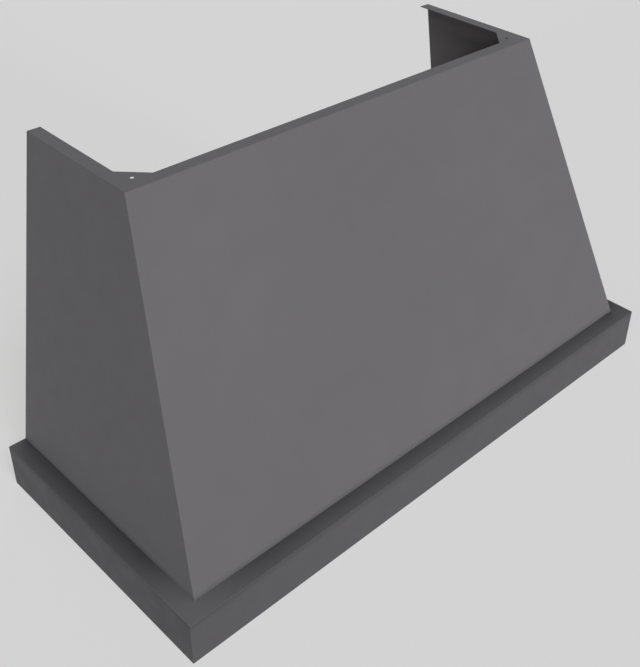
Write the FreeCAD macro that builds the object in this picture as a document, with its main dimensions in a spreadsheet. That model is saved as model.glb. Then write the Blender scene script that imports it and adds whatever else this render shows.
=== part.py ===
import FreeCAD, Part
import os

import Sketcher

# Sloped range hood cover: a wooden shell on a timber frame, fixed to the wall over a
# cooker insert. Millimetres. X runs along the wall, the wall is at +Y, the front looks
# towards -Y and +Z is up. The origin is the bottom centre of the whole cover.

SIZES = (
    # outside of the whole cover
    ("overall_width", 1371.6),
    ("overall_depth", 609.6),
    ("overall_height", 762),
    # trim band round the foot, made of two layers of board
    ("trim_height", 101.6),
    ("trim_thickness", 19.05),
    ("backer_thickness", 19.05),
    # outline of the open top
    ("top_width", 1066.8),
    ("top_depth", 304.8),
    # sloping panels, back-bevelled to a thin nose where they meet the wall
    ("panel_thickness", 12.7),
    ("scribe_nose", 2),
    # flat steel flange round the top, with a gusset plate in each front corner
    ("flange_width", 27),
    ("flange_thickness", 1.2),
    ("gusset_leg", 47),
    ("gusset_hole_diameter", 8),
    ("gusset_hole_from_side", 38.1),
    ("gusset_hole_from_front", 35.5),
    # timber frame inside the shell
    ("rail_thickness", 19.05),
    ("corner_block_leg", 60),
    ("post_leg", 30),
    ("stile_width", 38.1),
    ("stile_thickness", 19.05),
    ("rib_width", 38.1),
    ("rib_thickness", 19.05),
    ("rib_spacing", 508),
    ("top_rail_height", 38.1),
    ("top_rail_thickness", 12),
    # rail that hangs on the wall studs
    ("wall_rail_top", 571.5),
    ("wall_rail_height", 88.9),
    ("wall_hole_diameter", 8.5),
    ("stud_spacing", 406.4),
    # ledgers that carry the liner of the cooker insert
    ("ledger_width", 38.1),
    ("ledger_height", 38.1),
    ("liner_pilot_diameter", 3),
    ("liner_pilot_spacing", 203.2),
    # countersunk screws: shank, head and length
    ("flange_screw_diameter", 3.5),
    ("flange_screw_length", 15),
    ("flange_screw_from_side", 6),
    ("flange_screw_end_margin", 60),
    ("frame_screw_diameter", 4.5),
    ("frame_screw_length", 50),
    ("frame_screw_margin", 25.4),
    ("stile_screw_length", 45),
    ("trim_screw_end_margin", 110),
    ("ledger_screw_end_margin", 40),
    ("screw_clearance", 0.1),
)

SIDE_SCREWS = 3
FRONT_SCREWS = 5
WALL_HOLES = 3
SIDES = (("left", "-1"), ("right", "1"))

# The cutter of a plain hole starts and ends this far outside the piece.
CUTTER_OVERRUN = "1"
# A countersunk head is this many times as wide as its shank, with a right-angled cone.
HEAD_RATIO = "2"

doc = FreeCAD.newDocument("RangeHoodCover")
sheet = doc.addObject("Spreadsheet::Sheet", "Sizes")
for row, (alias, value) in enumerate(SIZES, start=1):
    sheet.set(f"A{row}", alias)
    sheet.set(f"B{row}", str(value))
    sheet.setAlias(f"B{row}", alias)
doc.recompute()

# ---------------------------------------------------------------- places from the sizes

WALL = "(Sizes.overall_depth / 2)"
BAND = "(Sizes.trim_thickness + Sizes.backer_thickness)"
FOOT_HALF = f"(Sizes.overall_width / 2 - {BAND})"
FOOT_FRONT = f"({BAND} - {WALL})"
TOP_HALF = "(Sizes.top_width / 2)"
TOP_FRONT = f"({WALL} - Sizes.top_depth)"
LEAN_HEIGHT = "(Sizes.overall_height - Sizes.trim_height)"
SIDE_RUN = f"(({FOOT_HALF} - {TOP_HALF}) / {LEAN_HEIGHT})"
FRONT_RUN = f"(({TOP_FRONT} - {FOOT_FRONT}) / {LEAN_HEIGHT})"

FOOT = "Sizes.trim_height"
TOP = "Sizes.overall_height"
FLANGE_UNDER = "(Sizes.overall_height - Sizes.flange_thickness)"
TOP_RAIL_UNDER = f"({FLANGE_UNDER} - Sizes.top_rail_height)"
WALL_RAIL_UNDER = "(Sizes.wall_rail_top - Sizes.wall_rail_height)"
LEDGER_UNDER = "(Sizes.trim_height - Sizes.ledger_height)"

FRAME_HALF = f"({FOOT_HALF} - Sizes.rail_thickness)"
FRAME_FRONT = f"({FOOT_FRONT} + Sizes.rail_thickness)"
FRAME_REAR = f"({WALL} - Sizes.rail_thickness)"


def level_thickness(thickness, run):
    """Width, measured level, of a layer that leans by `run` in each unit of height."""
    return f"({thickness} * sqrt(1 + {run} ^ 2))"


SIDE_SKIN = level_thickness("Sizes.panel_thickness", SIDE_RUN)
FRONT_SKIN = level_thickness("Sizes.panel_thickness", FRONT_RUN)
TOP_RAIL_DEPTH = level_thickness("Sizes.top_rail_thickness", FRONT_RUN)


def outer_x(height):
    """Half width over the side panels at a height."""
    return f"({FOOT_HALF} - {SIDE_RUN} * ({height} - {FOOT}))"


def outer_y(height):
    """Outer face of the front panel at a height."""
    return f"({FOOT_FRONT} + {FRONT_RUN} * ({height} - {FOOT}))"


def corner_point(height, from_side, from_front):
    """Point measured in from the outer right front corner at a height."""
    return (f"({outer_x(height)} - {from_side})", f"({outer_y(height)} + {from_front})")


def flipped(points, side):
    """The same outline on the side whose sign is given."""
    return [(f"({side}) * {x}", y) for x, y in points]


def both_halves(points):
    """Outline symmetrical about the middle, from the points of its right half."""
    return flipped(points, "-1")[::-1] + points


def rectangle(low_x, low_y, high_x, high_y):
    return [(low_x, low_y), (high_x, low_y), (high_x, high_y), (low_x, high_y)]


def spread(first, last, count):
    """Expressions for `count` even steps from first to last."""
    steps = count - 1
    return [f"({first} + ({last} - {first}) * {step} / {steps})" for step in range(count)]


# ---------------------------------------------------------------- ways of making a piece

nodes = []
cuts = []


def finished(piece, label):
    """Give a piece the name of its node and keep it."""
    piece.Label = label
    nodes.append(piece)
    return piece


def origin_plane(body, role):
    return next(plane for plane in body.Origin.OriginFeatures if plane.Role == role)


def outline(body, points, height):
    """Closed sketch at a height, with each corner tied to its two expressions."""
    sketch = body.newObject("Sketcher::SketchObject", "Outline")
    sketch.AttachmentSupport = (origin_plane(body, "XY_Plane"), [""])
    sketch.MapMode = "FlatFace"
    sketch.setExpression("AttachmentOffset.Base.z", height)
    corners = [
        FreeCAD.Vector(float(sketch.evalExpression(x)), float(sketch.evalExpression(y)), 0)
        for x, y in points
    ]
    following = corners[1:] + corners[:1]
    for start, end in zip(corners, following):
        sketch.addGeometry(Part.LineSegment(start, end), False)
    for edge in range(len(points)):
        after = (edge + 1) % len(points)
        sketch.addConstraint(Sketcher.Constraint("Coincident", edge, 2, after, 1))
    for edge, (corner, point) in enumerate(zip(corners, points)):
        across = Sketcher.Constraint("DistanceX", -1, 1, edge, 1, corner.x)
        along = Sketcher.Constraint("DistanceY", -1, 1, edge, 1, corner.y)
        for way, constraint, expression in zip("xy", (across, along), point):
            name = f"corner_{edge}_{way}"
            sketch.renameConstraint(sketch.addConstraint(constraint), name)
            sketch.setExpression(f"Constraints.{name}", expression)
    return sketch


def upright(name, points, low, height):
    """Piece with the same outline from `low` up through `height`."""
    body = doc.addObject("PartDesign::Body", name)
    pad = body.newObject("PartDesign::Pad", "Pad")
    pad.Profile = outline(body, points, low)
    pad.setExpression("Length", height)
    return body


def leaning(name, section, low, high):
    """Piece whose level section is given by a function of height."""
    body = doc.addObject("PartDesign::Body", name)
    loft = body.newObject("PartDesign::AdditiveLoft", "Loft")
    loft.Profile = outline(body, section(low), low)
    loft.Sections = [outline(body, section(high), high)]
    loft.Ruled = True
    return body


def place(shape, spot, heading):
    """Point a round shape along a heading and tie its start to three expressions."""
    turn = FreeCAD.Rotation(FreeCAD.Vector(0, 0, 1), FreeCAD.Vector(*heading))
    shape.Placement = FreeCAD.Placement(FreeCAD.Vector(), turn)
    for way, expression in zip("xyz", spot):
        shape.setExpression(f"Placement.Base.{way}", expression)


def rod(spot, heading, diameter, length):
    cylinder = doc.addObject("Part::Cylinder", "Rod")
    cylinder.setExpression("Radius", f"{diameter} / 2")
    cylinder.setExpression("Height", length)
    place(cylinder, spot, heading)
    return cylinder


def head(spot, heading, diameter, clearance):
    """Countersunk head whose flat face is at the spot."""
    cone = doc.addObject("Part::Cone", "Head")
    cone.setExpression("Radius1", f"{diameter} * {HEAD_RATIO} / 2 + {clearance}")
    cone.setExpression("Radius2", f"{diameter} / 2 + {clearance}")
    cone.setExpression("Height", f"{diameter} * ({HEAD_RATIO} - 1) / 2")
    place(cone, spot, heading)
    return cone


def joined(name, shapes):
    fuse = doc.addObject("Part::MultiFuse", name)
    fuse.Shapes = shapes
    return fuse


def screws(label, spots, diameter, length):
    """Group of countersunk screws, and the cutter that drills their holes."""
    solids = []
    holes = []
    gap = "Sizes.screw_clearance"
    for spot, heading in spots:
        solids.append(head(spot, heading, diameter, "0"))
        solids.append(rod(spot, heading, diameter, length))
        holes.append(head(spot, heading, diameter, gap))
        holes.append(rod(spot, heading, f"({diameter} + 2 * {gap})", f"{length} + {gap}"))
    finished(joined("Screws", solids), label)
    return joined("ScrewHoles", holes)


def bores(spots, heading, diameter, length):
    """Cutter for plain through holes; each spot is on the face where the hole opens."""
    cutters = []
    for spot in spots:
        start = [f"({way} - ({step}) * {CUTTER_OVERRUN})" for way, step in zip(spot, heading)]
        cutters.append(rod(start, heading, diameter, f"{length} + 2 * {CUTTER_OVERRUN}"))
    return joined("Bores", cutters)


def drilled(label, blank, *tools):
    """The blank with its holes cut, as the finished piece."""
    piece = blank
    for tool in tools:
        cut = doc.addObject("Part::Cut", "Drilled")
        cut.Base = piece
        cut.Tool = tool
        cuts.append((label, piece, cut))
        piece = cut
    return finished(piece, label)


# ---------------------------------------------------------------- screws and plain holes

LEFT_AND_RIGHT = [side for _, side in SIDES]
MIDDLE_Y = f"(({FRAME_FRONT} + {FRAME_REAR}) / 2)"
TRIM_SCREW_Z = f"({LEDGER_UNDER} / 2)"
LEDGER_SCREW_Z = f"({FOOT} - Sizes.ledger_height / 2)"
LEDGER_FRONT_END = f"({FRAME_FRONT} + Sizes.corner_block_leg)"
LEDGER_REAR_END = f"({FRAME_REAR} - Sizes.corner_block_leg)"
LEDGER_SIDE_END = f"({FRAME_HALF} - Sizes.corner_block_leg)"
WALL_HOLE_Z = "(Sizes.wall_rail_top - Sizes.wall_rail_height / 2)"
DOWN = (0, 0, -1)
TO_WALL = (0, 1, 0)
TO_FRONT = (0, -1, 0)
OUTWARD = {"-1": (-1, 0, 0), "1": (1, 0, 0)}
INWARD = {"-1": (1, 0, 0), "1": (-1, 0, 0)}


def flange_screw_spots():
    """Down through the flange, into the edges of the side panels and into the top rail."""
    end = "Sizes.flange_screw_end_margin"
    x = f"({TOP_HALF} - Sizes.flange_screw_from_side)"
    for side in LEFT_AND_RIGHT:
        for y in spread(f"({TOP_FRONT} + {end})", f"({WALL} - {end})", SIDE_SCREWS):
            yield (f"({side}) * {x}", y, TOP), DOWN
    half_deep = f"({TOP} - (Sizes.flange_thickness + Sizes.flange_screw_length) / 2)"
    y = f"({outer_y(half_deep)} + {FRONT_SKIN} + {TOP_RAIL_DEPTH} / 2)"
    for x in spread(f"({end} - {TOP_HALF})", f"({TOP_HALF} - {end})", FRONT_SCREWS):
        yield (x, y, TOP), DOWN


def base_frame_screw_spots():
    """Through the front rail into the side rails, and through these into the rear rail."""
    for z in ("Sizes.frame_screw_margin", f"({FOOT} - Sizes.frame_screw_margin)"):
        for side in LEFT_AND_RIGHT:
            x = f"({side}) * ({FOOT_HALF} - Sizes.rail_thickness / 2)"
            yield (x, FOOT_FRONT, z), TO_WALL
            y = f"({WALL} - Sizes.rail_thickness / 2)"
            yield (f"({side}) * {FOOT_HALF}", y, z), INWARD[side]


def trim_screw_spots():
    """From inside the base frame out through the backers into the trim boards."""
    end = "Sizes.trim_screw_end_margin"
    for side in LEFT_AND_RIGHT:
        for y in spread(f"({FRAME_FRONT} + {end})", f"({FRAME_REAR} - {end})", SIDE_SCREWS):
            yield (f"({side}) * {FRAME_HALF}", y, TRIM_SCREW_Z), OUTWARD[side]
    for x in spread(f"({end} - {FRAME_HALF})", f"({FRAME_HALF} - {end})", FRONT_SCREWS):
        yield (x, FRAME_FRONT, TRIM_SCREW_Z), TO_FRONT


def ledger_screw_spots():
    """Through each liner ledger into the rail behind it."""
    end = "Sizes.ledger_screw_end_margin"
    x = f"({FRAME_HALF} - Sizes.ledger_width)"
    for side in LEFT_AND_RIGHT:
        first = f"({LEDGER_FRONT_END} + {end})"
        for y in spread(first, f"({LEDGER_REAR_END} - {end})", SIDE_SCREWS):
            yield (f"({side}) * {x}", y, LEDGER_SCREW_Z), OUTWARD[side]
    for x in spread(f"({end} - {LEDGER_SIDE_END})", f"({LEDGER_SIDE_END} - {end})", FRONT_SCREWS):
        yield (x, f"({FRAME_FRONT} + Sizes.ledger_width)", LEDGER_SCREW_Z), TO_FRONT
        yield (x, f"({FRAME_REAR} - Sizes.ledger_width)", LEDGER_SCREW_Z), TO_WALL


def stile_screw_spots():
    """From the wall face of the wall rail into the edges of the two stiles."""
    low = f"({WALL_RAIL_UNDER} + Sizes.frame_screw_margin)"
    high = "(Sizes.wall_rail_top - Sizes.frame_screw_margin)"
    half_stile = level_thickness("Sizes.stile_thickness / 2", SIDE_RUN)
    for z in (low, high):
        for side in LEFT_AND_RIGHT:
            x = f"({side}) * ({outer_x(z)} - {SIDE_SKIN} - {half_stile})"
            yield (x, WALL, z), TO_FRONT


FRAME_SCREW = ("Sizes.frame_screw_diameter", "Sizes.frame_screw_length")
flange_screw_holes = screws(
    "flange_screws",
    flange_screw_spots(),
    "Sizes.flange_screw_diameter",
    "Sizes.flange_screw_length",
)
base_screw_holes = screws("base_frame_screws", base_frame_screw_spots(), *FRAME_SCREW)
trim_screw_holes = screws("trim_screws", trim_screw_spots(), *FRAME_SCREW)
ledger_screw_holes = screws("ledger_screws", ledger_screw_spots(), *FRAME_SCREW)
stile_screw_holes = screws(
    "wall_rail_screws",
    stile_screw_spots(),
    "Sizes.frame_screw_diameter",
    "Sizes.stile_screw_length",
)

gusset_hole_x = f"({TOP_HALF} - Sizes.gusset_hole_from_side)"
gusset_hole_y = f"({TOP_FRONT} + Sizes.gusset_hole_from_front)"
gusset_holes = bores(
    [(f"({side}) * {gusset_hole_x}", gusset_hole_y, TOP) for side in LEFT_AND_RIGHT],
    DOWN,
    "Sizes.gusset_hole_diameter",
    "Sizes.flange_thickness",
)

stud_x = spread("-Sizes.stud_spacing", "Sizes.stud_spacing", WALL_HOLES)
wall_holes = {
    rail: bores(
        [(x, WALL, z) for x in stud_x],
        TO_FRONT,
        "Sizes.wall_hole_diameter",
        "Sizes.rail_thickness",
    )
    for rail, z in (("upper", WALL_HOLE_Z), ("lower", TRIM_SCREW_Z))
}

liner_pilot_x = f"({FRAME_HALF} - Sizes.ledger_width / 2)"
liner_pilots = bores(
    [
        (f"({side}) * {liner_pilot_x}", f"({MIDDLE_Y} + {end} * Sizes.liner_pilot_spacing / 2)", FOOT)
        for side in LEFT_AND_RIGHT
        for end in ("-1", "1")
    ],
    DOWN,
    "Sizes.liner_pilot_diameter",
    "Sizes.ledger_height",
)

# ---------------------------------------------------------------- sloping shell


def front_panel_section(height):
    outer = corner_point(height, "0", "0")
    inner = corner_point(height, SIDE_SKIN, FRONT_SKIN)
    return both_halves([outer, inner])


def side_panel_section(height):
    """Mitred to the front panel, and bevelled from behind the rails to a thin nose."""
    edge = outer_x(height)
    return [
        corner_point(height, "0", "0"),
        (edge, WALL),
        (f"({edge} - Sizes.scribe_nose)", WALL),
        (f"({edge} - {SIDE_SKIN})", FRAME_REAR),
        corner_point(height, SIDE_SKIN, FRONT_SKIN),
    ]


finished(leaning("FrontPanel", front_panel_section, FOOT, FLANGE_UNDER), "front_panel")
for name, side in SIDES:
    panel = leaning(
        "SidePanel",
        lambda height, side=side: flipped(side_panel_section(height), side),
        FOOT,
        FLANGE_UNDER,
    )
    drilled(f"{name}_side_panel", panel, flange_screw_holes)

# ---------------------------------------------------------------- flange round the top

FLANGE_IN = "Sizes.flange_width"


def front_flange_section(height):
    outer = corner_point(height, "0", "0")
    inner = corner_point(height, FLANGE_IN, FLANGE_IN)
    return both_halves([outer, inner])


def side_flange_section(height):
    edge = outer_x(height)
    return [
        corner_point(height, "0", "0"),
        (edge, WALL),
        (f"({edge} - {FLANGE_IN})", WALL),
        corner_point(height, FLANGE_IN, FLANGE_IN),
    ]


def gusset_section(height):
    """Fills the inner corner of the flange; its long edge is cut square."""
    corner = corner_point(height, FLANGE_IN, FLANGE_IN)
    end_x = f"({TOP_HALF} - {FLANGE_IN} - Sizes.gusset_leg)"
    end_y = f"({TOP_FRONT} + {FLANGE_IN} + Sizes.gusset_leg)"
    shift_x = f"({outer_x(height)} - {TOP_HALF})"
    shift_y = f"({outer_y(height)} - {TOP_FRONT})"
    return [
        corner,
        (corner[0], f"({end_y} + {shift_x})"),
        (f"({end_x} + {shift_y})", corner[1]),
    ]


front_flange = leaning("FrontFlange", front_flange_section, FLANGE_UNDER, TOP)
drilled("front_top_flange", front_flange, flange_screw_holes)
for name, side in SIDES:
    flange = leaning(
        "SideFlange",
        lambda height, side=side: flipped(side_flange_section(height), side),
        FLANGE_UNDER,
        TOP,
    )
    drilled(f"{name}_top_flange", flange, flange_screw_holes)
    gusset = leaning(
        "Gusset",
        lambda height, side=side: flipped(gusset_section(height), side),
        FLANGE_UNDER,
        TOP,
    )
    drilled(f"{name}_corner_gusset", gusset, gusset_holes)

# ---------------------------------------------------------------- frame inside the shell


def top_rail_section(height):
    """Lies along the front panel; its ends meet the long faces of the corner posts."""
    at_panel = f"({SIDE_SKIN} + Sizes.post_leg)"
    at_back = f"({at_panel} - {TOP_RAIL_DEPTH})"
    back = corner_point(height, at_back, f"({FRONT_SKIN} + {TOP_RAIL_DEPTH})")
    return both_halves([corner_point(height, at_panel, FRONT_SKIN), back])


def post_section(height):
    """Three-cornered block that backs the mitre between two panels."""
    return [
        corner_point(height, SIDE_SKIN, FRONT_SKIN),
        corner_point(height, f"({SIDE_SKIN} + Sizes.post_leg)", FRONT_SKIN),
        corner_point(height, SIDE_SKIN, f"({FRONT_SKIN} + Sizes.post_leg)"),
    ]


def rib_section(height):
    near = f"({outer_y(height)} + {FRONT_SKIN})"
    far = f"({near} + {level_thickness('Sizes.rib_thickness', FRONT_RUN)})"
    low_x = "((Sizes.rib_spacing - Sizes.rib_width) / 2)"
    high_x = "((Sizes.rib_spacing + Sizes.rib_width) / 2)"
    return rectangle(low_x, near, high_x, far)


def stile_section(height):
    outer = f"({outer_x(height)} - {SIDE_SKIN})"
    inner = f"({outer} - {level_thickness('Sizes.stile_thickness', SIDE_RUN)})"
    return rectangle(inner, f"({FRAME_REAR} - Sizes.stile_width)", outer, FRAME_REAR)


def wall_rail_section(height):
    end = f"({outer_x(height)} - {SIDE_SKIN})"
    return rectangle(f"(-1) * {end}", FRAME_REAR, end, WALL)


top_rail = leaning("TopRail", top_rail_section, TOP_RAIL_UNDER, FLANGE_UNDER)
drilled("front_top_rail", top_rail, flange_screw_holes)
wall_rail = leaning("WallRail", wall_rail_section, WALL_RAIL_UNDER, "Sizes.wall_rail_top")
drilled("wall_rail", wall_rail, stile_screw_holes, wall_holes["upper"])
for name, side in SIDES:
    post = leaning(
        "Post",
        lambda height, side=side: flipped(post_section(height), side),
        FOOT,
        FLANGE_UNDER,
    )
    finished(post, f"{name}_corner_post")
    rib = leaning(
        "Rib",
        lambda height, side=side: flipped(rib_section(height), side),
        FOOT,
        TOP_RAIL_UNDER,
    )
    finished(rib, f"{name}_front_rib")
    stile = leaning(
        "Stile",
        lambda height, side=side: flipped(stile_section(height), side),
        FOOT,
        "Sizes.wall_rail_top",
    )
    drilled(f"{name}_rear_stile", stile, stile_screw_holes)

# ---------------------------------------------------------------- base frame and ledgers

front_rail = upright(
    "FrontRail",
    both_halves([(FOOT_HALF, FOOT_FRONT), (FOOT_HALF, FRAME_FRONT)]),
    "0",
    FOOT,
)
drilled("base_front_rail", front_rail, base_screw_holes, trim_screw_holes, ledger_screw_holes)
rear_rail = upright(
    "RearRail",
    both_halves([(FRAME_HALF, FRAME_REAR), (FRAME_HALF, WALL)]),
    "0",
    FOOT,
)
drilled("base_rear_rail", rear_rail, base_screw_holes, ledger_screw_holes, wall_holes["lower"])

for end, rail_y, into in (("front", FRAME_FRONT, "1"), ("rear", FRAME_REAR, "-1")):
    ledger_y = f"({rail_y} + ({into}) * Sizes.ledger_width)"
    ledger = upright(
        "LongLedger",
        both_halves([(LEDGER_SIDE_END, rail_y), (LEDGER_SIDE_END, ledger_y)]),
        LEDGER_UNDER,
        "Sizes.ledger_height",
    )
    drilled(f"{end}_liner_ledger", ledger, ledger_screw_holes)
    for name, side in SIDES:
        block = upright(
            "CornerBlock",
            flipped(
                [
                    (FRAME_HALF, rail_y),
                    (FRAME_HALF, f"({rail_y} + ({into}) * Sizes.corner_block_leg)"),
                    (LEDGER_SIDE_END, rail_y),
                ],
                side,
            ),
            LEDGER_UNDER,
            "Sizes.ledger_height",
        )
        finished(block, f"{end}_{name}_corner_block")

for name, side in SIDES:
    side_rail = upright(
        "SideRail",
        flipped(rectangle(FRAME_HALF, FRAME_FRONT, FOOT_HALF, WALL), side),
        "0",
        FOOT,
    )
    drilled(f"base_{name}_rail", side_rail, base_screw_holes, trim_screw_holes, ledger_screw_holes)
    inner_x = f"({FRAME_HALF} - Sizes.ledger_width)"
    ledger = upright(
        "ShortLedger",
        flipped(rectangle(inner_x, LEDGER_FRONT_END, FRAME_HALF, LEDGER_REAR_END), side),
        LEDGER_UNDER,
        "Sizes.ledger_height",
    )
    drilled(f"{name}_liner_ledger", ledger, ledger_screw_holes, liner_pilots)

# ---------------------------------------------------------------- trim band, two layers

LAYERS = (
    ("trim_backer", "0", "Sizes.backer_thickness"),
    ("trim_board", "Sizes.backer_thickness", BAND),
)

for layer, near, far in LAYERS:
    inner = (f"({FOOT_HALF} + {near})", f"({FOOT_FRONT} - {near})")
    outer = (f"({FOOT_HALF} + {far})", f"({FOOT_FRONT} - {far})")
    front_layer = upright("FrontLayer", both_halves([outer, inner]), "0", FOOT)
    drilled(f"front_{layer}", front_layer, trim_screw_holes)
    for name, side in SIDES:
        side_layer = upright(
            "SideLayer",
            flipped([inner, outer, (outer[0], WALL), (inner[0], WALL)], side),
            "0",
            FOOT,
        )
        drilled(f"{name}_{layer}", side_layer, trim_screw_holes)

# ---------------------------------------------------------------- check and write

doc.recompute()

for item in doc.Objects:
    if "Invalid" in item.State or "Error" in item.State:
        raise RuntimeError(f"{item.Label} failed: {item.State}")

for label, before, after in cuts:
    if not after.Shape.Volume < before.Shape.Volume:
        raise RuntimeError(f"a hole in {label} cut nothing")

os.makedirs("parts", exist_ok=True)
for piece in nodes:
    shape = piece.Shape
    if shape.isNull() or not shape.isValid() or not shape.Solids:
        raise RuntimeError(f"{piece.Label} has no sound shape")
    shape.exportStep(f"parts/{piece.Label}.step")
    print(f"{piece.Label}: {len(shape.Solids)} solid(s), {shape.Volume:.0f} mm3")
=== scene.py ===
import math

import bmesh
import bpy
from mathutils import Matrix, Vector


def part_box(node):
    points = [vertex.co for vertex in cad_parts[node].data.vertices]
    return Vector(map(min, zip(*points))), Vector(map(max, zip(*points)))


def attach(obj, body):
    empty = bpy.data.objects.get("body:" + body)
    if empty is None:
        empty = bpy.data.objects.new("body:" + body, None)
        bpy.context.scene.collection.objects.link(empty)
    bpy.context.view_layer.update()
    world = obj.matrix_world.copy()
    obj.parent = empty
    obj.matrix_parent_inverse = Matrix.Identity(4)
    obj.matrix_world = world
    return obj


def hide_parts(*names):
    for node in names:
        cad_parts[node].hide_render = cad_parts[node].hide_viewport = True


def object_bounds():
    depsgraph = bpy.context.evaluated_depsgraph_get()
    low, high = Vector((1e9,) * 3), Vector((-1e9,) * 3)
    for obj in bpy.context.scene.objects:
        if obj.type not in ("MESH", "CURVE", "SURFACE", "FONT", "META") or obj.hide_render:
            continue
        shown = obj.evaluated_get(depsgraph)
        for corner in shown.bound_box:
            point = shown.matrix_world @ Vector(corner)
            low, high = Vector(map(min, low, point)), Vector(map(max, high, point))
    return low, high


# Looks of the sloped range hood cover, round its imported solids. Metres, in the frame of
# the solids: the wall is at +Y, the front looks towards -Y and the floor is at Z = 0.

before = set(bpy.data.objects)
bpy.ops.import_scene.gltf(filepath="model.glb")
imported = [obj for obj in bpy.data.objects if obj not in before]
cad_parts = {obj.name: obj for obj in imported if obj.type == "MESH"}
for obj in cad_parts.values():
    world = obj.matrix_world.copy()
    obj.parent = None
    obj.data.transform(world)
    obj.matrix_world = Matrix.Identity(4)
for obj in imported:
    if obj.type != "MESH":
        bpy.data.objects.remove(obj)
cad_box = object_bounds()

# ---------------------------------------------------------------- sizes of the painted shell

# Boxes of the rail that the front panel stands on, and of the steel strip along its top.
rail_low, rail_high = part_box("base_front_rail")
strip_low, strip_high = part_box("front_top_flange")

WALL = cad_box[1].y
TOP_Z = cad_box[1].z
FOOT_Z = rail_high.z
FOOT_HALF = rail_high.x
FOOT_FRONT = rail_low.y
RAIL = rail_high.y - rail_low.y
BAND = cad_box[1].x - FOOT_HALF
FLANGE = TOP_Z - strip_low.z

# How far the side and front panels lean in for each unit of height, and how thick each is
# when it is measured level.
SIDE_RUN = (FOOT_HALF - strip_high.x) / (strip_low.z - FOOT_Z)
FRONT_RUN = (strip_low.y - FOOT_FRONT) / (strip_low.z - FOOT_Z)
SIDE_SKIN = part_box("left_side_panel")[1].x - strip_low.x
FRONT_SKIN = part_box("front_panel")[1].y - strip_low.y
# What is left of the side panels' thickness at the wall.
SCRIBE_NOSE = 0.002


def outer_x(z):
    """Half width over the side panels at a height."""
    return FOOT_HALF - SIDE_RUN * (z - FOOT_Z)


def outer_y(z):
    """Outer face of the front panel at a height."""
    return FOOT_FRONT + FRONT_RUN * (z - FOOT_Z)


FLANGE_WIDTH = strip_high.y - outer_y(TOP_Z)
GUSSET_LEG = 0.047
GUSSET_HOLE_RADIUS = 0.004
GUSSET_HOLE_FROM_SIDE = 0.0381
GUSSET_HOLE_FROM_FRONT = 0.0355
HOLE_STEPS = 40

# How far each kind of arris is eased, and how it is rounded.
SHELL_EASE = 0.0006
BAND_EASE = 0.0008
STEEL_EASE = 0.0003
BOARD_EASE = 0.0010
EASE_SEGMENTS = 2
ROUND_PROFILE = 0.5
# A board's edge is eased if it is longer and sharper than these.
SHORTEST_EASED = 0.012
SHARP_ANGLE = math.radians(25)

# Corners of a solid's triangles closer than this are one, and so are its faces that meet
# at less than this angle.
SAME_CORNER = 1e-6
FLAT_ANGLE = math.radians(1)
# A corner closer than this to a place is at that place.
SAME_PLACE = 1e-5
# Edges sharper than this are shaded as sharp.
CREASE_ANGLE = math.radians(50)

# A screw's head is a flat face that is wider, and has more corners, than these.
SMALLEST_HEAD = 0.0035
ROUND_CORNERS = 12
# Its cross recess: each arm's reach and half width, the depth, and how small the floor is
# beside the mouth.
CROSS_REACH = 0.0026
CROSS_HALF = 0.0006
CROSS_DEPTH = 0.0016
CROSS_FLOOR = 0.45

# ---------------------------------------------------------------- what is made of what

SHELL_NODES = ("front_panel", "left_side_panel", "right_side_panel")
BAND_NODES = (
    "front_trim_board",
    "left_trim_board",
    "right_trim_board",
    "front_trim_backer",
    "left_trim_backer",
    "right_trim_backer",
)
# The flange screws are filled and painted over, so the painted flange stands for them too.
FLANGE_NODES = (
    "front_top_flange",
    "left_top_flange",
    "right_top_flange",
    "left_corner_gusset",
    "right_corner_gusset",
    "flange_screws",
)
# Boards by the way their grain runs.
PAINTED_BOARDS = {
    "X": ("base_front_rail", "base_rear_rail"),
    "Y": ("base_left_rail", "base_right_rail"),
}
BARE_BOARDS = {
    "X": ("front_top_rail", "wall_rail", "front_liner_ledger", "rear_liner_ledger"),
    "Y": ("left_liner_ledger", "right_liner_ledger"),
    "Z": (
        "left_corner_post",
        "right_corner_post",
        "left_front_rib",
        "right_front_rib",
        "left_rear_stile",
        "right_rear_stile",
        "front_left_corner_block",
        "front_right_corner_block",
        "rear_left_corner_block",
        "rear_right_corner_block",
    ),
}
SCREW_NODES = ("base_frame_screws", "trim_screws", "ledger_screws", "wall_rail_screws")

# ---------------------------------------------------------------- colours, linear

PAINT = (0.1530, 0.1487, 0.1562)
# Painted shade: the band, the flange and the base rails have the panels' paint made a shade
# darker.
SHADED_TRIM_PAINT = (0.1320, 0.1283, 0.1348)
POPLAR_PALE = (0.560, 0.430, 0.250)
POPLAR_DARK = (0.400, 0.275, 0.140)
ZINC_GREY = (0.520, 0.530, 0.550)
BACKDROP = 0.651

# ---------------------------------------------------------------- building node trees

# Nearly all values of a noise lie between these two.
NOISE_LOW = 0.3
NOISE_HIGH = 0.7


def add(tree, kind, inputs=None, **settings):
    """A node with its settings, and its inputs set to values or linked to outputs."""
    node = tree.nodes.new(kind)
    for name, value in settings.items():
        setattr(node, name, value)
    for socket, value in (inputs or {}).items():
        if isinstance(value, bpy.types.NodeSocket):
            tree.links.new(value, node.inputs[socket])
        else:
            node.inputs[socket].default_value = value
    return node


def maths(tree, operation, *values):
    return add(tree, "ShaderNodeMath", dict(enumerate(values)), operation=operation).outputs[0]


def product(tree, *values):
    result = values[0]
    for value in values[1:]:
        result = maths(tree, "MULTIPLY", result, value)
    return result


def vector_maths(tree, operation, *values):
    node = add(tree, "ShaderNodeVectorMath", dict(enumerate(values)), operation=operation)
    return node.outputs["Value" if operation in ("DOT_PRODUCT", "DISTANCE") else "Vector"]


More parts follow.
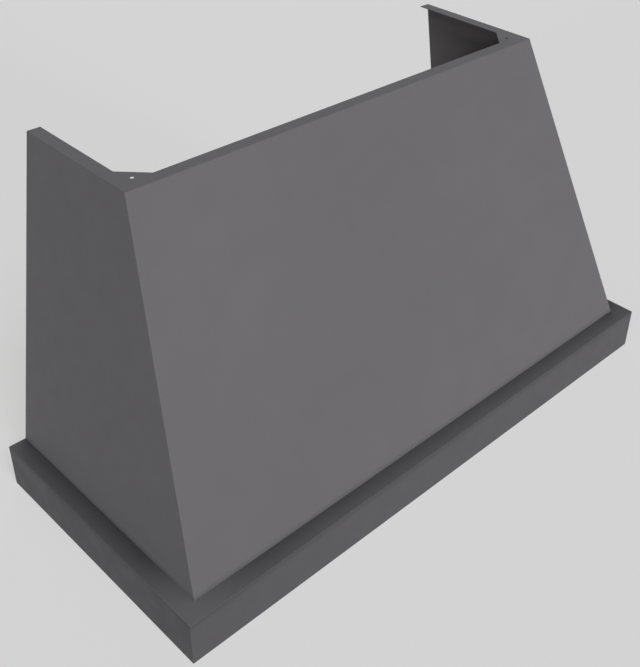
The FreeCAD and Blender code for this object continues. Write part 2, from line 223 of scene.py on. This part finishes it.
def remap(tree, value, low, high, to_low, to_high, smooth=True):
    """A value clamped to one range and carried to another."""
    ends = {"From Min": low, "From Max": high, "To Min": to_low, "To Max": to_high}
    curve = "SMOOTHSTEP" if smooth else "LINEAR"
    inputs = {"Value": value, **ends}
    return add(tree, "ShaderNodeMapRange", inputs, interpolation_type=curve).outputs[0]


def blended(tree, factor, first, second):
    inputs = {0: factor, 2: first, 3: second}
    return add(tree, "ShaderNodeMix", inputs, data_type="FLOAT").outputs[0]


def blended_colour(tree, factor, first, second):
    inputs = {0: factor, 6: (*first, 1), 7: (*second, 1)}
    return add(tree, "ShaderNodeMix", inputs, data_type="RGBA").outputs[2]


def scaled_colour(tree, colour, factor):
    """A plain colour times a value that varies over the surface."""
    inputs = {0: colour, "Scale": factor}
    return add(tree, "ShaderNodeVectorMath", inputs, operation="SCALE").outputs[0]


def noise(tree, vector, scale, detail, roughness=0.5):
    inputs = {"Vector": vector, "Scale": scale, "Detail": detail, "Roughness": roughness}
    return add(tree, "ShaderNodeTexNoise", inputs).outputs[0]


def varied(tree, vector, scale, detail, low, high):
    """A noise that runs between two values."""
    return remap(tree, noise(tree, vector, scale, detail), NOISE_LOW, NOISE_HIGH, low, high)


def along(tree, vector, grain, stretch, offset=(0.0, 0.0, 0.0)):
    """Coordinates turned so that the grain runs along X, and drawn out along it."""
    turn = {"X": (0, 0, 0), "Y": (0, 0, -math.pi / 2), "Z": (0, math.pi / 2, 0)}[grain]
    inputs = {"Vector": vector, "Rotation": turn, "Location": offset}
    turned = add(tree, "ShaderNodeMapping", inputs).outputs[0]
    return vector_maths(tree, "MULTIPLY", turned, (1 / stretch, 1, 1))


def bump(tree, height, distance, strength, under=None):
    inputs = {"Height": height, "Distance": distance, "Strength": strength}
    if under is not None:
        inputs["Normal"] = under
    return add(tree, "ShaderNodeBump", inputs).outputs[0]


def material(name):
    """An empty node material: itself, its tree, its shader and its coordinates."""
    made = bpy.data.materials.new(name)
    made.use_nodes = True
    tree = made.node_tree
    shader = tree.nodes["Principled BSDF"]
    place = add(tree, "ShaderNodeTexCoord").outputs["Object"]
    return made, tree, shader, place


# ---------------------------------------------------------------- painted shade and light

# On the ledge: how far its painted shade reaches from the panels, and how it deepens.
# Little of the painted shade lies near the left front corner, and more near the right one.
LEDGE_REACH = 0.11
LEDGE_POWER = 2.2
LEDGE_SAMPLES = 16
LIGHT_CORNER = (-FOOT_HALF, FOOT_FRONT, FOOT_Z)
LIGHT_CORNER_REACH = 0.16
LIGHT_CORNER_SHARE = 0.35
DARK_CORNER = (FOOT_HALF + BAND, FOOT_FRONT, FOOT_Z)
DARK_CORNER_REACH = 0.14
DARK_CORNER_TONE = 0.65
# On the upright faces of the band: painted shade, a little all over and more towards the arris
# of the ledge.
FACE_TONE = 0.97
ARRIS_FADE = 0.020
ARRIS_DARK = 0.79
# Painted shade at the foot of the panels.
FOOT_FADE = 0.011
FOOT_DARK = 0.79
# On the inner faces of the side panels: painted shade from the front panel back to where it
# ends in a little painted light, and painted light close under the flange, all along it.
INSIDE_FROM = 0.04
INSIDE_REACH = 0.34
INSIDE_DARK = 0.19
INSIDE_PALE = 1.05
UNDER_FLANGE = 0.050
UNDER_PALE = 1.1
# The upward part of a normal where a face begins to count as the ledge, and where it does
# in full.
LEDGE_TURN = (0.6, 0.9)
# The outward part of a normal up to which a face counts in full as an inner one, and where
# it ceases to.
INNER_TURN = (-0.7, -0.5)


def ledge_painted_shade(tree, place, normal):
    """Painted shade: darkens the ledge of the band towards the foot of the panels."""
    inputs = {"Distance": LEDGE_REACH}
    sky = add(tree, "ShaderNodeAmbientOcclusion", inputs, samples=LEDGE_SAMPLES).outputs["AO"]
    dark = maths(tree, "POWER", sky, LEDGE_POWER)
    from_light_corner = vector_maths(tree, "DISTANCE", place, LIGHT_CORNER)
    share = remap(tree, from_light_corner, 0.0, LIGHT_CORNER_REACH, LIGHT_CORNER_SHARE, 1.0)
    from_dark_corner = vector_maths(tree, "DISTANCE", place, DARK_CORNER)
    corner_shade = remap(tree, from_dark_corner, 0.0, DARK_CORNER_REACH, DARK_CORNER_TONE, 1.0)
    ledge = product(tree, corner_shade, blended(tree, share, 1.0, dark))
    height = vector_maths(tree, "DOT_PRODUCT", place, (0, 0, 1))
    face = remap(tree, height, FOOT_Z - ARRIS_FADE, FOOT_Z, FACE_TONE, ARRIS_DARK)
    upward = vector_maths(tree, "DOT_PRODUCT", normal, (0, 0, 1))
    return blended(tree, remap(tree, upward, *LEDGE_TURN, 0.0, 1.0), face, ledge)


def panel_painted_shading(tree, place, normal):
    """Painted shade at the foot of the panels and on the side panels' insides towards the
    front, and painted light on those insides close under the flange.
    """
    parts = add(tree, "ShaderNodeSeparateXYZ", {0: place}).outputs
    foot = remap(tree, parts["Z"], FOOT_Z, FOOT_Z + FOOT_FADE, FOOT_DARK, 1.0)
    lean = product(tree, maths(tree, "SUBTRACT", parts["Z"], FOOT_Z), FRONT_RUN)
    front = maths(tree, "ADD", lean, FOOT_FRONT + FRONT_SKIN)
    depth = maths(tree, "SUBTRACT", parts["Y"], front)
    dark = remap(tree, depth, INSIDE_FROM, INSIDE_REACH, INSIDE_DARK, INSIDE_PALE, smooth=False)
    high = remap(tree, parts["Z"], TOP_Z - UNDER_FLANGE, TOP_Z - FLANGE, 0.0, 1.0, smooth=False)
    dark = blended(tree, high, dark, UNDER_PALE)
    sideways = vector_maths(tree, "DOT_PRODUCT", normal, (1, 0, 0))
    outward = product(tree, sideways, maths(tree, "SIGN", parts["X"]))
    inner = remap(tree, outward, *INNER_TURN, 1.0, 0.0)
    return product(tree, foot, blended(tree, inner, 1.0, dark))


# ---------------------------------------------------------------- materials

# A noise is given as its scale per metre and its detail, and its roughness or the two
# values that it runs between may follow. A bump is given as its depth and its strength.
MOTTLING = (
    (2.2, 1.0, 0.985, 1.015),
    (14.0, 3.0, 0.988, 1.012),
    (900.0, 1.0, 0.985, 1.015),
)
PAINT_ROUGHNESS = (30.0, 3.0, 0.46, 0.58)
PAINT_GLOSS = 0.05
STIPPLE = (650.0, 2.0)
STIPPLE_BUMP = (0.00006, 0.5)
# Grain that shows through the paint of a board.
COVERED_GRAIN = (420.0, 2.0)
COVERED_STRETCH = 30.0
COVERED_BUMP = (0.00004, 0.35)

RINGS = {
    "Scale": 48.0,
    "Distortion": 9.0,
    "Detail": 2.0,
    "Detail Scale": 0.35,
    "Detail Roughness": 0.5,
}
RING_STRETCH = 18.0
RING_SHARE = 0.5
RING_BUMP = (0.00008, 0.3)
FIBRE = (900.0, 3.0, 0.6)
FIBRE_STRETCH = 45.0
FIBRE_BUMP = (0.00012, 0.5)
STREAK = (90.0, 2.0)
STREAK_STRETCH = 25.0
# Two values of the noise, and what it adds to the dark of the timber at each.
FIBRE_TONE = (0.35, 0.65, -0.12, 0.18)
STREAK_TONE = (0.35, 0.65, -0.05, 0.30)
WOOD_ROUGHNESS = (0.62, 0.78)
WOOD_GLOSS = 0.3

ZINC_CLOUD = (260.0, 3.0, 0.82, 1.08)
ZINC_ROUGHNESS = (700.0, 2.0, 0.28, 0.46)
ZINC_BUMP = (0.00003, 0.4)


def paint(name, colour, grain=None, painted_shading=None):
    """Satin grey paint: soft mottling, roller stipple, and any grain and painted shading asked
    for.
    """
    made, tree, shader, place = material(name)
    tone = product(tree, *(varied(tree, place, *layer) for layer in MOTTLING))
    # The painted shading given darkens the tone as painted shade, and lightens it as painted
    # light.
    if painted_shading:
        normal = add(tree, "ShaderNodeNewGeometry").outputs["True Normal"]
        tone = product(tree, tone, painted_shading(tree, place, normal))
    tree.links.new(scaled_colour(tree, colour, tone), shader.inputs["Base Color"])
    tree.links.new(varied(tree, place, *PAINT_ROUGHNESS), shader.inputs["Roughness"])
    shader.inputs["Specular IOR Level"].default_value = PAINT_GLOSS
    surface = bump(tree, noise(tree, place, *STIPPLE), *STIPPLE_BUMP)
    if grain:
        fibre = noise(tree, along(tree, place, grain, COVERED_STRETCH), *COVERED_GRAIN)
        surface = bump(tree, fibre, *COVERED_BUMP, surface)
    tree.links.new(surface, shader.inputs["Normal"])
    return made


def bare_wood(name, grain, offset):
    """Poplar: growth rings through the board, long fibres, and a planed surface."""
    made, tree, shader, place = material(name)
    inputs = {"Vector": along(tree, place, grain, RING_STRETCH, offset), **RINGS}
    settings = {"wave_type": "RINGS", "rings_direction": "X", "wave_profile": "SAW"}
    rings = add(tree, "ShaderNodeTexWave", inputs, **settings).outputs["Fac"]
    fibre = noise(tree, along(tree, place, grain, FIBRE_STRETCH, offset), *FIBRE)
    streak = noise(tree, along(tree, place, grain, STREAK_STRETCH, offset), *STREAK)
    dark = product(tree, rings, RING_SHARE)
    dark = maths(tree, "ADD", dark, remap(tree, fibre, *FIBRE_TONE))
    dark = maths(tree, "ADD", dark, remap(tree, streak, *STREAK_TONE))
    tint = blended_colour(tree, dark, POPLAR_PALE, POPLAR_DARK)
    tree.links.new(tint, shader.inputs["Base Color"])
    rough = remap(tree, fibre, NOISE_LOW, NOISE_HIGH, *WOOD_ROUGHNESS)
    tree.links.new(rough, shader.inputs["Roughness"])
    shader.inputs["Specular IOR Level"].default_value = WOOD_GLOSS
    surface = bump(tree, rings, *RING_BUMP, bump(tree, fibre, *FIBRE_BUMP))
    tree.links.new(surface, shader.inputs["Normal"])
    return made


def zinc(name):
    """Bright zinc plating, slightly clouded."""
    made, tree, shader, place = material(name)
    cloud = varied(tree, place, *ZINC_CLOUD)
    tree.links.new(scaled_colour(tree, ZINC_GREY, cloud), shader.inputs["Base Color"])
    tree.links.new(varied(tree, place, *ZINC_ROUGHNESS), shader.inputs["Roughness"])
    shader.inputs["Metallic"].default_value = 1.0
    tree.links.new(bump(tree, cloud, *ZINC_BUMP), shader.inputs["Normal"])
    return made


# ---------------------------------------------------------------- making pieces


def ease(bm, edges, width):
    """Rounds the chosen edges a little."""
    bmesh.ops.bevel(
        bm,
        geom=edges,
        offset=width,
        offset_type="OFFSET",
        segments=EASE_SEGMENTS,
        profile=ROUND_PROFILE,
        affect="EDGES",
        clamp_overlap=True,
    )


def finish_piece(name, bm, look, nodes):
    """Makes the mesh an object that rides on the body and stands for the named solids."""
    bmesh.ops.recalc_face_normals(bm, faces=bm.faces)
    for face in bm.faces:
        face.smooth = True
    for edge in bm.edges:
        edge.smooth = edge.calc_face_angle(0) < CREASE_ANGLE
    mesh = bpy.data.meshes.new(name)
    bm.to_mesh(mesh)
    bm.free()
    mesh.materials.append(look)
    made = bpy.data.objects.new(name, mesh)
    bpy.context.scene.collection.objects.link(made)
    made.modifiers.new("even", "WEIGHTED_NORMAL").keep_sharp = True
    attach(made, "root")
    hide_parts(*nodes)


def mirrored(points):
    """Closed outline from the points of its left half, and back through their mirror images."""
    return points + [(-x, y) for x, y in reversed(points)]


def ring_of_walls(bm, low, high):
    """Quads between two closed rows with the same number of corners."""
    for step in range(len(low)):
        after = (step + 1) % len(low)
        bm.faces.new((low[step], low[after], high[after], high[step]))


def closed_row(bm, points):
    """Corners at those points, and the edges that join them in a ring."""
    corners = [bm.verts.new(point) for point in points]
    return corners, [bm.edges.new(pair) for pair in zip(corners, corners[1:] + corners[:1])]


def level_row(bm, outline, z):
    return closed_row(bm, [(x, y, z) for x, y in outline])


def loft(low, low_z, high, high_z):
    """Closed mesh between two outlines with the same number of points."""
    bm = bmesh.new()
    bottom, _ = level_row(bm, low, low_z)
    top, _ = level_row(bm, high, high_z)
    ring_of_walls(bm, bottom, top)
    bm.faces.new(reversed(bottom))
    bm.faces.new(top)
    return bm


def near(value, target):
    return abs(value - target) < SAME_PLACE


# ---------------------------------------------------------------- painted shell


def shell_outline(z):
    """Level section of the three panels, joined into one along their mitres."""
    x, y = outer_x(z), outer_y(z)
    inner_x = SIDE_SKIN - x
    return mirrored(
        [
            (inner_x, y + FRONT_SKIN),
            (inner_x, WALL - RAIL),
            (SCRIBE_NOSE - x, WALL),
            (-x, WALL),
            (-x, y),
        ]
    )


def is_on_hip(corner, z):
    """True for the outer corner of the shell between the front and a side, at a height."""
    x, y, own_z = corner.co
    return near(own_z, z) and near(abs(x), outer_x(z)) and near(y, outer_y(z))


def is_hip(edge):
    """True for the arris between the front and a side."""
    low, high = sorted(edge.verts, key=lambda corner: corner.co.z)
    return is_on_hip(low, FOOT_Z) and is_on_hip(high, TOP_Z - FLANGE)


def painted_shell(look):
    """The three panels in one skin, with their mitres filled and their hips eased."""
    top = TOP_Z - FLANGE
    bm = loft(shell_outline(FOOT_Z), FOOT_Z, shell_outline(top), top)
    ease(bm, [edge for edge in bm.edges if is_hip(edge)], SHELL_EASE)
    finish_piece("painted_shell", bm, look, SHELL_NODES)


def painted_band(look):
    """Both layers of the trim band with their seams filled, eased on the outside."""
    outer_side, outer_front = FOOT_HALF + BAND, FOOT_FRONT - BAND
    outline = mirrored(
        [
            (-FOOT_HALF, FOOT_FRONT),
            (-FOOT_HALF, WALL),
            (-outer_side, WALL),
            (-outer_side, outer_front),
        ]
    )
    bm = loft(outline, 0.0, outline, FOOT_Z)

    def outside(corner):
        return near(abs(corner.co.x), outer_side) or near(corner.co.y, outer_front)

    ease(bm, [edge for edge in bm.edges if all(map(outside, edge.verts))], BAND_EASE)
    finish_piece("painted_band", bm, look, BAND_NODES)


def flange_outline(z, inset):
    """Level section of the flange and its gussets in one sheet, drawn in by the inset."""
    x, y = outer_x(z) - inset, outer_y(z) + inset
    inner_x = FLANGE_WIDTH - inset - outer_x(z)
    inner_y = FLANGE_WIDTH - inset + outer_y(z)
    leg = GUSSET_LEG + inset * (2 - math.sqrt(2))
    return mirrored(
        [
            (inner_x + leg, inner_y),
            (inner_x, inner_y + leg),
            (inner_x, WALL),
            (-x, WALL),
            (-x, y),
        ]
    )


def hole_outline(side):
    """Round hole in the gusset on the side whose sign is given."""
    middle_x = side * (outer_x(TOP_Z) - GUSSET_HOLE_FROM_SIDE)
    middle_y = outer_y(TOP_Z) + GUSSET_HOLE_FROM_FRONT
    turns = [2 * math.pi * step / HOLE_STEPS for step in range(HOLE_STEPS)]
    return [
        (
            middle_x + GUSSET_HOLE_RADIUS * math.cos(turn),
            middle_y + GUSSET_HOLE_RADIUS * math.sin(turn),
        )
        for turn in turns
    ]


def painted_flange(look):
    """Steel flange with its two gussets, in one sheet with a hole in each gusset."""
    bm = bmesh.new()
    bottom_z = TOP_Z - FLANGE
    rims = [level_row(bm, flange_outline(bottom_z, 0.0), bottom_z)]
    # Rows of the eased upper rim, from its outer face round to the top.
    for step in range(EASE_SEGMENTS + 1):
        turn = math.pi / 2 * step / EASE_SEGMENTS
        z = TOP_Z - STEEL_EASE * (1 - math.sin(turn))
        rims.append(level_row(bm, flange_outline(z, STEEL_EASE * (1 - math.cos(turn))), z))
    for (low, _), (high, _) in zip(rims, rims[1:]):
        ring_of_walls(bm, low, high)
    bottom_edges, top_edges = rims[0][1], rims[-1][1]
    for side in (-1, 1):
        low, low_edges = level_row(bm, hole_outline(side), bottom_z)
        high, high_edges = level_row(bm, hole_outline(side), TOP_Z)
        ring_of_walls(bm, low, high)
        bottom_edges += low_edges
        top_edges += high_edges
    for edges in (bottom_edges, top_edges):
        bmesh.ops.triangle_fill(bm, edges=edges, use_beauty=True)
    finish_piece("painted_flange", bm, look, FLANGE_NODES)


# ---------------------------------------------------------------- boards and screws

# Where in the timber each board is cut: a step further along it for every board, and in
# turn at one of a few places across and through it, given as the first place, the step
# between places and how many there are.
CUT_ALONG = 0.37
CUT_ACROSS = (0.031, 0.017, 5)
CUT_THROUGH = (0.043, 0.023, 3)


def in_turn(board, first, step, places):
    return first + step * (board % places)


def place_in_timber(board):
    """Offset of the grain in the board with that number."""
    return (CUT_ALONG * board, in_turn(board, *CUT_ACROSS), in_turn(board, *CUT_THROUGH))


def merged_solid(node):
    """The node's solid as a mesh whose flat faces are each in one piece."""
    bm = bmesh.new()
    bm.from_mesh(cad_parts[node].data)
    bmesh.ops.remove_doubles(bm, verts=bm.verts, dist=SAME_CORNER)
    bmesh.ops.dissolve_limit(bm, angle_limit=FLAT_ANGLE, verts=bm.verts, edges=bm.edges)
    return bm


def eased_board(node, look):
    """The board as the solids have it, with its long arrises eased."""
    bm = merged_solid(node)
    arrises = [
        edge
        for edge in bm.edges
        if edge.calc_face_angle(0) > SHARP_ANGLE and edge.calc_length() > SHORTEST_EASED
    ]
    ease(bm, arrises, BOARD_EASE)
    finish_piece(f"{node}_board", bm, look, (node,))


def is_head(face):
    """True for the flat round face of a screw's head."""
    middle = face.calc_center_median()
    reach = min((corner.co - middle).length for corner in face.verts)
    return len(face.verts) > ROUND_CORNERS and reach > SMALLEST_HEAD


def cross_outline():
    """Flat outline of the cross recess, about the middle of the head."""
    arm = [(CROSS_REACH, -CROSS_HALF), (CROSS_REACH, CROSS_HALF), (CROSS_HALF, CROSS_HALF)]
    outline = []
    for _ in range(4):
        outline += arm
        arm = [(-y, x) for x, y in arm]
    return outline


def cut_cross(bm, head):
    """Cross recess in the flat face of a screw's head."""
    middle, outward = head.calc_center_median(), head.normal.copy()
    across = outward.orthogonal().normalized()
    upright = outward.cross(across)

    def recess_row(depth, size):
        start = middle - outward * depth
        outline = [(x * size, y * size) for x, y in cross_outline()]
        return closed_row(bm, [start + across * x + upright * y for x, y in outline])

    rim = list(head.edges)
    bmesh.ops.delete(bm, geom=[head], context="FACES_ONLY")
    mouth, mouth_edges = recess_row(0.0, 1.0)
    bmesh.ops.triangle_fill(bm, edges=rim + mouth_edges, use_beauty=True)
    bottom, _ = recess_row(CROSS_DEPTH, CROSS_FLOOR)
    ring_of_walls(bm, mouth, bottom)
    bm.faces.new(bottom)


def cross_screws(node, look):
    """The screws as the solids have them, with a cross recess in every head."""
    bm = merged_solid(node)
    for head in [face for face in bm.faces if is_head(face)]:
        cut_cross(bm, head)
    finish_piece(f"{node}_crossed", bm, look, (node,))


# The shell's paint carries painted shade and painted light, and the band's painted shade.
painted_shell(paint("shell_paint", PAINT, "Z", panel_painted_shading))
# The band, the flange and the base rails take the paint that is darkened as painted shade.
painted_band(paint("band_paint", SHADED_TRIM_PAINT, "X", ledge_painted_shade))
painted_flange(paint("steel_paint", SHADED_TRIM_PAINT))
for grain, nodes in PAINTED_BOARDS.items():
    for node in nodes:
        eased_board(node, paint(f"paint_{node}", SHADED_TRIM_PAINT, grain))
bare_boards = [(grain, node) for grain, nodes in BARE_BOARDS.items() for node in nodes]
for board, (grain, node) in enumerate(bare_boards, start=1):
    poplar = bare_wood(f"poplar_{node}", grain, place_in_timber(board))
    eased_board(node, poplar)
screw_zinc = zinc("screw_zinc")
for node in SCREW_NODES:
    cross_screws(node, screw_zinc)

# ---------------------------------------------------------------- floor, world and lamps

FLOOR_RADIUS = 14.0
FLOOR_CORNERS = 96
# The floor's grey where it is seen, and where light bounces off it.
FLOOR_SEEN = 0.834
FLOOR_BOUNCE = 0.14
# Share of the floor's look that is the backdrop's own colour, which lightens the shadow.
FLOOR_GLOW = 0.5
# Strength of the sky as light.
AMBIENT = 0.12
LAMP_DISTANCE = 4
# Each lamp's share of a white surface's full brightness for a surface that looks along each
# axis, how wide the lamp is in degrees, and whether it shows in gloss.
LAMPS = {
    "key": ((-0.240, -0.412, 0.588), 40, True),
    "front": ((0.000, -0.232, 0.045), 12, False),
    "side": ((-0.120, -0.035, 0.024), 8, False),
    "fill": ((0.600, 0.720, 0.000), 12, False),
}


def seen_directly(tree):
    """1 for rays from the camera, a gloss or a glass, and 0 for rays that carry light."""
    path = add(tree, "ShaderNodeLightPath").outputs
    seen = maths(tree, "MAXIMUM", path["Is Camera Ray"], path["Is Glossy Ray"])
    return maths(tree, "MAXIMUM", seen, path["Is Transmission Ray"])


def floor_material():
    """Matt floor that glows a little as the backdrop does, and is clear from below."""
    made = bpy.data.materials.new("studio_floor")
    made.use_nodes = True
    tree = made.node_tree
    tree.nodes.clear()
    seen = seen_directly(tree)
    matt_share = FLOOR_SEEN * (1 - FLOOR_GLOW)
    colour = blended_colour(tree, seen, (FLOOR_BOUNCE,) * 3, (matt_share,) * 3)
    lit = add(tree, "ShaderNodeBsdfDiffuse", {"Color": colour}).outputs[0]
    strength = product(tree, seen, BACKDROP * FLOOR_GLOW)
    glow = add(tree, "ShaderNodeEmission", {"Strength": strength}).outputs[0]
    matt = add(tree, "ShaderNodeAddShader", {0: lit, 1: glow}).outputs[0]
    clear = add(tree, "ShaderNodeBsdfTransparent").outputs[0]
    below = add(tree, "ShaderNodeNewGeometry").outputs["Backfacing"]
    shown = add(tree, "ShaderNodeMixShader", {0: below, 1: matt, 2: clear}).outputs[0]
    add(tree, "ShaderNodeOutputMaterial", {"Surface": shown})
    return made


def studio_floor():
    bpy.ops.mesh.primitive_circle_add(
        vertices=FLOOR_CORNERS, radius=FLOOR_RADIUS, fill_type="NGON"
    )
    floor = bpy.context.object
    floor.name = "studio_floor"
    floor.data.materials.append(floor_material())


def lamp(name, shares, width, shines):
    """Sun that shines from the direction of its shares."""
    data = bpy.data.lights.new(name, "SUN")
    towards = Vector(shares)
    data.energy = towards.length * math.pi
    data.angle = math.radians(width)
    made = bpy.data.objects.new(name, data)
    made.rotation_euler = towards.to_track_quat("Z", "Y").to_euler()
    made.location = towards.normalized() * LAMP_DISTANCE
    made.visible_glossy = shines
    bpy.context.scene.collection.objects.link(made)


def studio_world():
    """White sky that lights the object dimly and is seen as the backdrop."""
    world = bpy.data.worlds.new("studio")
    world.use_nodes = True
    bpy.context.scene.world = world
    tree = world.node_tree
    background = tree.nodes["Background"].inputs
    background["Color"].default_value = (1, 1, 1, 1)
    strength = remap(tree, seen_directly(tree), 0.0, 1.0, AMBIENT, BACKDROP)
    tree.links.new(strength, background["Strength"])


studio_floor()
for name, (shares, width, shines) in LAMPS.items():
    lamp(name, shares, width, shines)
studio_world()

# ---------------------------------------------------------------- camera

IMAGE_WIDTH = 640
IMAGE_HEIGHT = 667
FOCAL_PIXELS = 1020.51
PRINCIPAL_PIXEL = (361.43, 284.00)
SENSOR_WIDTH = 36
CLIP_START = 0.05
CLIP_END = 60
CAMERA_PLACE = Vector((-1.29931, -1.27388, 1.56263))
CAMERA_RIGHT = Vector((0.70797, -0.70564, 0.02929))
CAMERA_UP = Vector((0.37564, 0.41135, 0.83048))


def photo_camera():
    """Camera at the photograph's viewpoint."""
    lens = bpy.data.cameras.new("camera")
    # The picture is taller than it is wide, so the sensor's width goes along its height.
    lens.sensor_width = SENSOR_WIDTH
    lens.lens = FOCAL_PIXELS / IMAGE_HEIGHT * SENSOR_WIDTH
    lens.shift_x = (IMAGE_WIDTH / 2 - PRINCIPAL_PIXEL[0]) / IMAGE_HEIGHT
    lens.shift_y = (PRINCIPAL_PIXEL[1] - IMAGE_HEIGHT / 2) / IMAGE_HEIGHT
    lens.clip_start = CLIP_START
    lens.clip_end = CLIP_END
    camera = bpy.data.objects.new("camera", lens)
    axes = Matrix((CAMERA_RIGHT, CAMERA_UP, CAMERA_RIGHT.cross(CAMERA_UP))).transposed()
    camera.matrix_world = Matrix.Translation(CAMERA_PLACE) @ axes.to_4x4()
    bpy.context.scene.collection.objects.link(camera)
    return camera


bpy.context.scene.camera = photo_camera()

# ---------------------------------------------------------------- finish

bpy.context.scene.view_settings.view_transform = "Standard"
